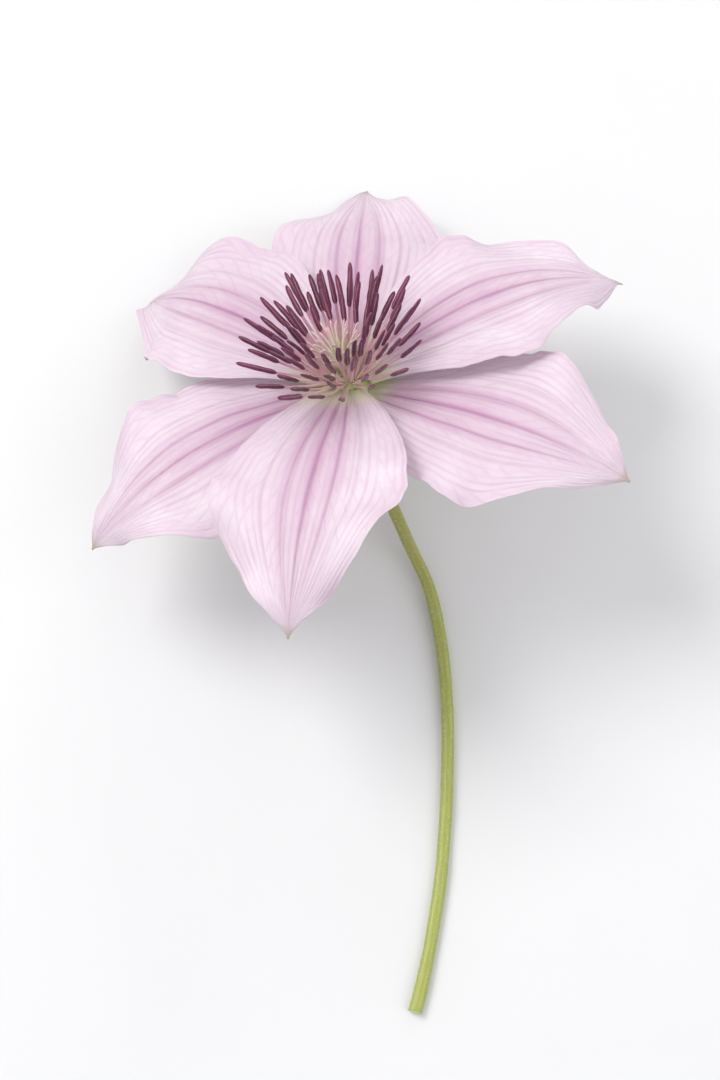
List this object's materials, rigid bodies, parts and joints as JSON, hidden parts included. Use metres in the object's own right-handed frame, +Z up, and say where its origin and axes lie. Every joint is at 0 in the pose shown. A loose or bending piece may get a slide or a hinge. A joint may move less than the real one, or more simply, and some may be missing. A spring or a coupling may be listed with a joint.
{
  "type": "clematis flower",
  "caption": "Open clematis flower as picked: pointed wavy sepals round a crown of dark stamens, on a bare cut stalk that lies on the surface.",
  "frame": {"origin": "on the surface it lies on, under the middle of its box", "axes": "+Z up from the surface; +Y along the flower, from the cut end of the stalk towards the bloom"},
  "size_m": [0.0838, 0.1394, 0.0486],
  "materials": {
    "sepal": "soft matt petal surface, pale mauve pink with a deeper bar",
    "stamen": "matt, deep maroon anthers on pink cream filaments",
    "style": "silky, cream",
    "stalk": "finely downy, yellowish green flushed with purple"
  },
  "bodies": {
    "root": {"sepal_1": "sepal", "sepal_2": "sepal", "sepal_3": "sepal", "sepal_4": "sepal", "sepal_5": "sepal", "sepal_6": "sepal", "stamens": "stamen", "pistil": "style", "stalk": "stalk"}
  },
  "joints": []
}
